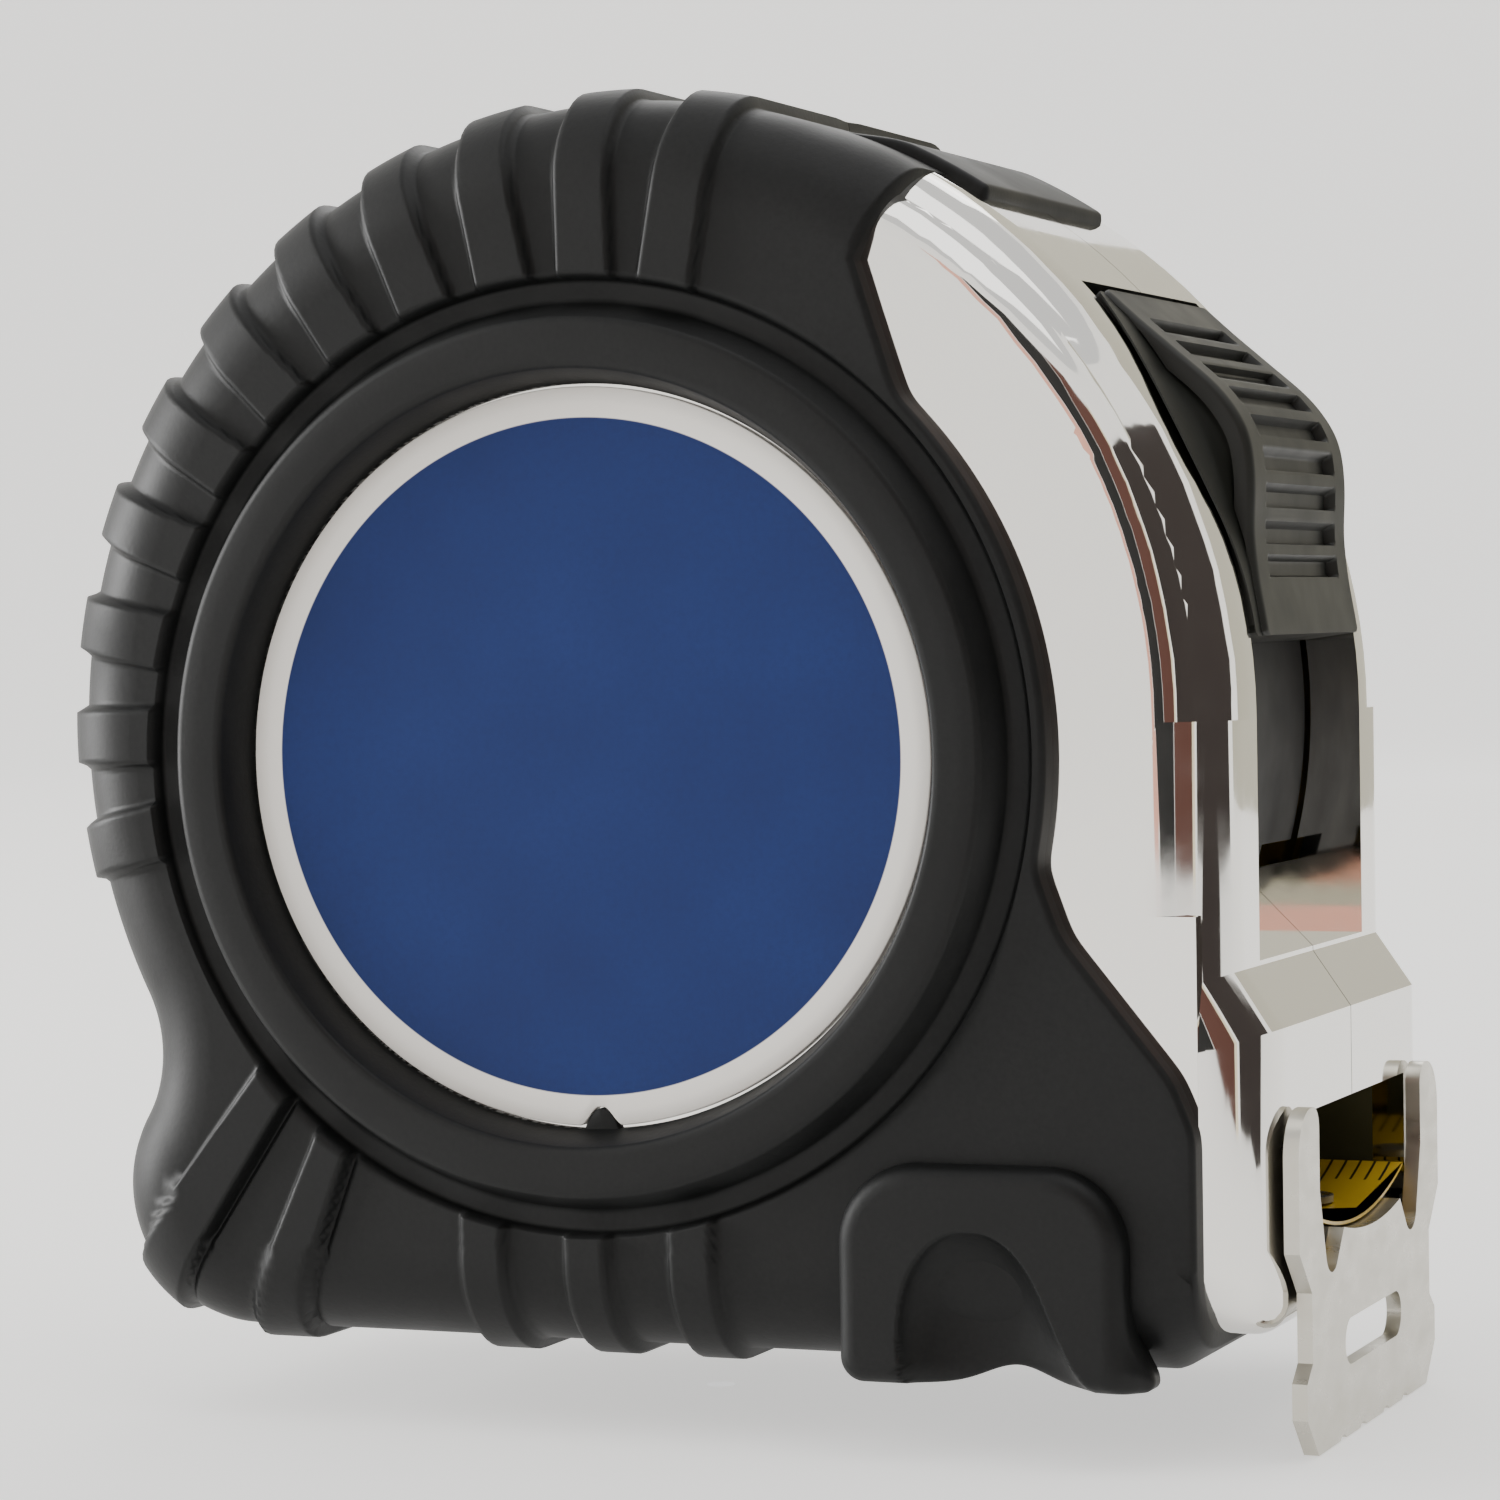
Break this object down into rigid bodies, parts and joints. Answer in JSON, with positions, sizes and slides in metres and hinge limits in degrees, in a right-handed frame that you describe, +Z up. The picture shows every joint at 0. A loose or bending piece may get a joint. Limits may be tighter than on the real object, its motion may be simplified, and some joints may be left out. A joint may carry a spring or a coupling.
{
  "type": "tape measure",
  "caption": "Pocket tape measure: ribbed rubber jacket over a chromed case, thumb lock, sprung blade spool, sliding end hook and belt clip.",
  "frame": {"origin": "on the base's rest face, on the middle plane between the case halves, right under the spool axle; the end hook hangs lower", "axes": "+X towards the end hook, -Y towards the label side that faces the viewer, +Y towards the belt clip, +Z up"},
  "size_m": [0.086, 0.0545, 0.0878],
  "materials": {
    "chromed_plastic": "vacuum-plated ABS, mirror bright",
    "jacket_rubber": "matt, fine grain",
    "printed_label": "printed, satin, white outer ring",
    "plain_label": "printed, satin, white outer ring",
    "olive_nylon": "moulded",
    "buffer_rubber": "matt",
    "black_plastic": "moulded, fine grain",
    "liner_card": "smooth",
    "screw_steel": "zinc plated",
    "insert_brass": "turned",
    "clip_steel": "satin",
    "drum_plastic": "moulded",
    "spring_steel": "blued",
    "blade_steel": "yellow lacquer",
    "rivet_steel": "domed",
    "hook_steel": "satin nickel",
    "lock_plastic": "fine grain"
  },
  "bodies": {
    "case": {"left_case_shell": "chromed_plastic", "right_case_shell": "chromed_plastic", "left_rubber_jacket": "jacket_rubber", "right_rubber_jacket": "jacket_rubber", "left_label": "printed_label", "right_label": "plain_label", "mouth_guide": "olive_nylon", "hook_buffer": "buffer_rubber", "centre_post": "black_plastic", "left_liner_disc": "liner_card", "right_liner_disc": "liner_card", "case_screws": "screw_steel", "clip_nut": "insert_brass", "clip_screw": "screw_steel", "clip_base": "clip_steel"},
    "spool": {"spool_drum": "drum_plastic", "spool_cover": "drum_plastic", "mainspring": "spring_steel", "blade_coil": "blade_steel"},
    "blade": {"blade_strip": "blade_steel", "hook_rivets": "rivet_steel"},
    "hook": {"end_hook": "hook_steel"},
    "lock": {"lock_slider": "lock_plastic", "lock_tongue": "black_plastic", "brake_pad": "buffer_rubber"},
    "clip": {"clip_leg": "clip_steel"}
  },
  "joints": [
    {"name": "spool_spin", "type": "hinge", "parent": "case", "child": "spool", "pos_m": [0, 0, 0.0395], "axis": [0, 1, 0], "range_deg": [-130.22, 0], "stiffness_Nm_per_rad": 0.01, "springref_deg": 143.24},
    {"name": "blade_slide", "type": "slide", "parent": "case", "child": "blade", "axis": [1, 0, 0], "range_m": [0, 0.065]},
    {"name": "hook_float", "type": "slide", "parent": "blade", "child": "hook", "axis": [1, 0, 0], "range_m": [0, 0.001]},
    {"name": "lock_slide", "type": "hinge", "parent": "case", "child": "lock", "pos_m": [0.002, 0, 0.0415], "axis": [0, 1, 0], "range_deg": [0, 17]},
    {"name": "clip_flex", "type": "hinge", "parent": "case", "child": "clip", "pos_m": [0, 0.0259, 0.0555], "axis": [1, 0, 0], "range_deg": [0, 6], "stiffness_Nm_per_rad": 0.3}
  ],
  "couplings": [
    {"joint": "blade_slide", "follows": "spool_spin", "m_per_rad": -0.0286}
  ]
}
